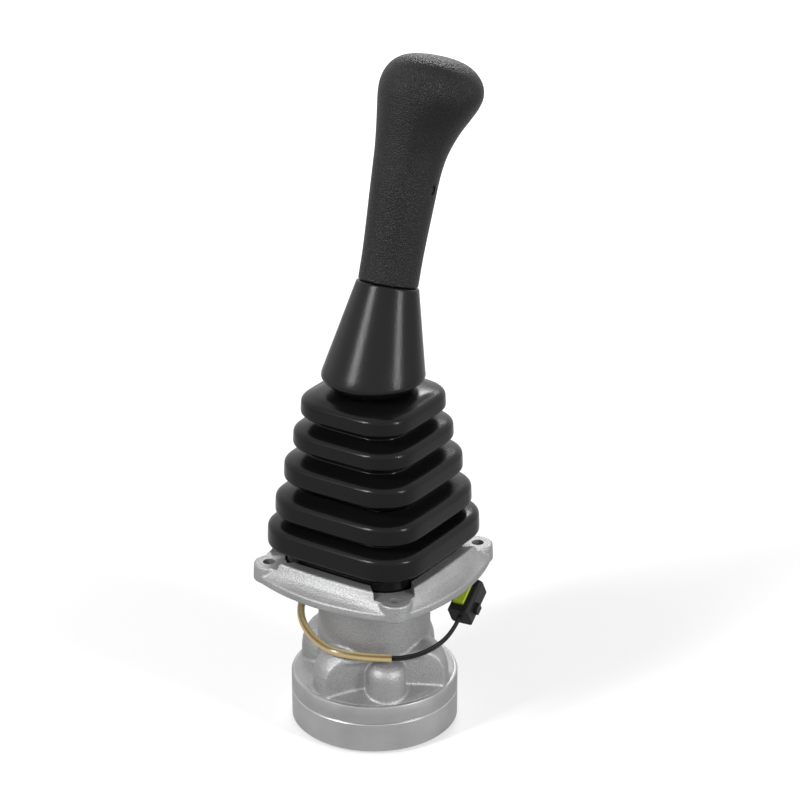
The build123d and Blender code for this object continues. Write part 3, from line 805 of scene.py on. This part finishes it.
def castLobe(x, y):
    # round lobe, cut flat where the two front and back walls pass
    form = bmesh.new()
    r, top = casting["lobe"], casting["lobeTop"]
    bulge = [(r, casting["root"]), (r, top - 20.5)]
    bulge += [(r - inward, top - below) for inward, below in casting["lobeDome"]] + [(0.2, top)]
    addLoft(form, [[Vector((x + a * cos(2 * pi * k / 48), y + a * sin(2 * pi * k / 48), z)) * mm for k in range(48)]
                   for a, z in bulge])
    for turn in casting["front"]:
        out = Vector((cos(radians(turn)), sin(radians(turn)), 0))
        cutLine = bmesh.ops.bisect_plane(form, geom=form.verts[:] + form.edges[:] + form.faces[:],
                                         plane_co=out * (casting["wall"] * mm), plane_no=out, clear_outer=True)
        edges = [g for g in cutLine["geom_cut"] if isinstance(g, bmesh.types.BMEdge)]
        if edges:
            bmesh.ops.holes_fill(form, edges=edges)
    return form


def join(form, other):
    mesh = bpy.data.meshes.new("part")
    other.to_mesh(mesh)
    other.free()
    form.from_mesh(mesh)
    bpy.data.meshes.remove(mesh)


def makeBody():
    form = bmesh.new()
    rim, wall = casting["rim"], casting["wall"]
    addRound(form, rim - 1.2, rim - 1.2, -69, casting["rimTop"])
    addRound(form, rim - 1.2, wall + 1, casting["rimTop"] - 0.01, casting["ledge"])
    block = (2 * wall, 2 * casting["valley"], casting["blockHigh"])
    addBlock(form, block, (0, 0, casting["blockAt"]), casting["front"][0])
    for turn in casting["front"]:
        addBlock(form, casting["lip"], (wall - 0.7, 0, casting["lipAt"]), turn)
    addRound(form, casting["neck"], casting["neck"], casting["root"], -3)
    addRound(form, casting["neck"], 37.5, -15, -2)
    for x, y in fourSides:
        join(form, castLobe(x * casting["lobeAt"], y * casting["lobeAt"]))
    for turn in casting["front"]:
        x, y = casting["bossAt"] * cos(radians(turn)), casting["bossAt"] * sin(radians(turn))
        r = casting["boss"]
        dome = [(r, casting["root"])] + [(r * share, z) for share, z in casting["bossDome"]] + [(0.2, -41.7)]
        addLoft(form, [[Vector((x + a * cos(2 * pi * k / 40), y + a * sin(2 * pi * k / 40), z)) * mm
                        for k in range(40)] for a, z in dome])
        addBlock(form, casting["rib"], (casting["bossAt"] + 4.1, 0, casting["ribAt"]), turn)
    body = asPiece(form, "castBody", finishes["cast"])
    fuse(body, casting["voxel"], 7)
    tool = bmesh.new()
    for x, y in fourSides:
        x, y = x * casting["chambers"], y * casting["chambers"]
        addRound(tool, casting["chamber"], casting["chamber"], -50, 6, x, y, 48)
        addRound(tool, casting["spoolBore"], casting["spoolBore"], -80, -49, x, y, 48)
    cutWith(body, tool)
    tool = bmesh.new()
    addRound(tool, casting["stem"], casting["stem"], -19, 4)
    turn = Vector(casting["leadWay"]).to_track_quat("Z", "Y").to_matrix().to_4x4()
    place = Matrix.Translation(Vector(casting["leadAt"]) * mm) @ turn
    radius, deep = casting["leadHole"] * mm, 0.016
    bmesh.ops.create_cone(tool, cap_ends=True, segments=32, radius1=radius, radius2=radius, depth=deep,
                          matrix=place @ Matrix.Translation((0, 0, deep / 2)))
    cutWith(body, tool)
    body.data.shade_smooth()
    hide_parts("casing", "casing_neck")
    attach(body, "valve")
    print("body cast", len(body.data.vertices))


def makeRim():
    r, low, high = casting["rim"], casting["seam"], casting["rimTop"]
    profile = [(30, low + 0.02), (r - 0.7, low + 0.02), (r, low + 0.5), (r, low + 0.9), (r, low + 5), (r, high - 1.2),
               (r - 0.35, high - 0.4), (r - 1.1, high - 0.02), (r - 3.0, high + 0.1), (30, high + 0.1)]
    ring = turned("castRim", profile + [profile[0]], finishes["turnedCast"], 128)
    form = bmesh.new()
    form.from_mesh(ring.data)
    bmesh.ops.delete(form, geom=[f for f in form.faces if len(f.verts) > 4], context="FACES")
    bmesh.ops.remove_doubles(form, verts=form.verts, dist=0.000001)
    bmesh.ops.recalc_face_normals(form, faces=form.faces)
    form.to_mesh(ring.data)
    form.free()
    tool = bmesh.new()
    addBlock(tool, (6, 12, 8), (casting["rim"], 0, -70), casting["notchTurn"])
    cutWith(ring, tool)
    ring.data.shade_smooth()
    ring.data.set_sharp_from_angle(angle=radians(32))
    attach(ring, "valve")


def flangeOutline(shrink, z, bulge=1.0, steps=14):
    # four shallow side arcs and four round corners
    padAt, pad = casting["padAt"], casting["pad"] - shrink
    rise = (casting["side"] - padAt - casting["pad"]) * bulge
    side = padAt + pad + rise
    bow = (padAt ** 2 + rise ** 2) / (2 * rise)
    points = []
    for quarter in range(4):
        turn = Matrix.Rotation(quarter * pi / 2, 3, "Z")
        for k in range(steps):
            y = -padAt + 2 * padAt * k / steps
            points.append(turn @ Vector((side - bow + sqrt(bow * bow - y * y), y, z)))
        for k in range(6):
            a = pi / 2 * k / 6
            points.append(turn @ Vector((padAt + pad * cos(a), padAt + pad * sin(a), z)))
    return [p * mm for p in points]


def makeFlange():
    form = bmesh.new()
    addLoft(form, [flangeOutline(0.6, 0), flangeOutline(0.0, 0.6), flangeOutline(0.0, 4.4), flangeOutline(0.8, 5.0)])
    top = casting["ridge"]
    addLoft(form, [flangeOutline(1.0, 3.0), flangeOutline(1.2, 5.0), flangeOutline(2.2, 6.4, 0.74),
                   flangeOutline(3.3, 8.6, 0.48), flangeOutline(4.1, top - 2.6, 0.32),
                   flangeOutline(4.6, top - 0.6, 0.24), flangeOutline(5.2, top, 0.2)])
    for turn in (45, 135, 225, 315):
        reach = casting["padAt"] * sqrt(2)
        x, y = reach * cos(radians(turn)), reach * sin(radians(turn))
        addRound(form, casting["pad"] + 0.1, casting["pad"] - 0.3, 0.3, 10, x, y, 40)
        addBlock(form, (24, 19.4, 9), (reach - 12, 0, 5.5), turn)
    addRound(form, 45, 45, -5, 1, sides=120)
    flange = asPiece(form, "castFlange", finishes["cast"])
    fuse(flange, 0.56, 6)
    tool = bmesh.new()
    addLoft(tool, [softSquare(casting["pocket"], 21.1, 6, 8), softSquare(casting["pocket"], 21.1, 20, 8)])
    cutWith(flange, tool)
    tool = bmesh.new()
    for turn in (45, 135, 225, 315):
        addBlock(tool, (40, 23, 12), (66, 0, 16.1), turn)
    cutWith(flange, tool)
    tool = bmesh.new()
    addRound(tool, casting["recess"], casting["recess"], -8, 7, sides=96)
    for x, y in ((1, 1), (1, -1), (-1, 1), (-1, -1)):
        addRound(tool, casting["hole"], casting["hole"], -3, 14, x * casting["holeAt"], y * casting["holeAt"], 40)
    cutWith(flange, tool)
    flange.data.shade_smooth()
    flange.data.set_sharp_from_angle(angle=radians(38))
    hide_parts("casing_flange")
    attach(flange, "valve")
    print("flange cast", len(flange.data.vertices))


makeBody()
makeRim()
makeFlange()


# finishes of the pieces that keep their own shape

nodeFinish = {"casing": "cast", "casing_neck": "cast", "casing_flange": "cast", "port_plate": "machined",
              "port_plate_screws": "darkSteel", "screw_washers": "steel", "seam_seal": "seal",
              "locating_pins": "steel", "spool_bushes": "steel", "guide_plugs": "bronze", "rod_seals": "seal",
              "retainer_plate": "steel", "joint_base": "steel", "joint_cross": "steel", "joint_head": "steel",
              "cam_plate": "darkSteel", "adjusting_nut": "steel", "lock_nut": "steel", "lever_socket": "steel",
              "lever_rod": "steel", "boot_collar": "steel", "grip_screw": "darkSteel",
              "harness_grommet": "seal", "connector_housing": "housing", "connector_lock": "lock"}


def dressNodes():
    for name, node in nodes.items():
        kind = nodeFinish.get(name)
        if kind is None:
            kind = "springSteel" if name.startswith("return_spring") else "steel"
        if not node.material_slots:
            node.data.materials.append(finishes[kind])
        for place in node.material_slots:
            place.material = finishes[kind]


dressNodes()
print("nodes dressed")
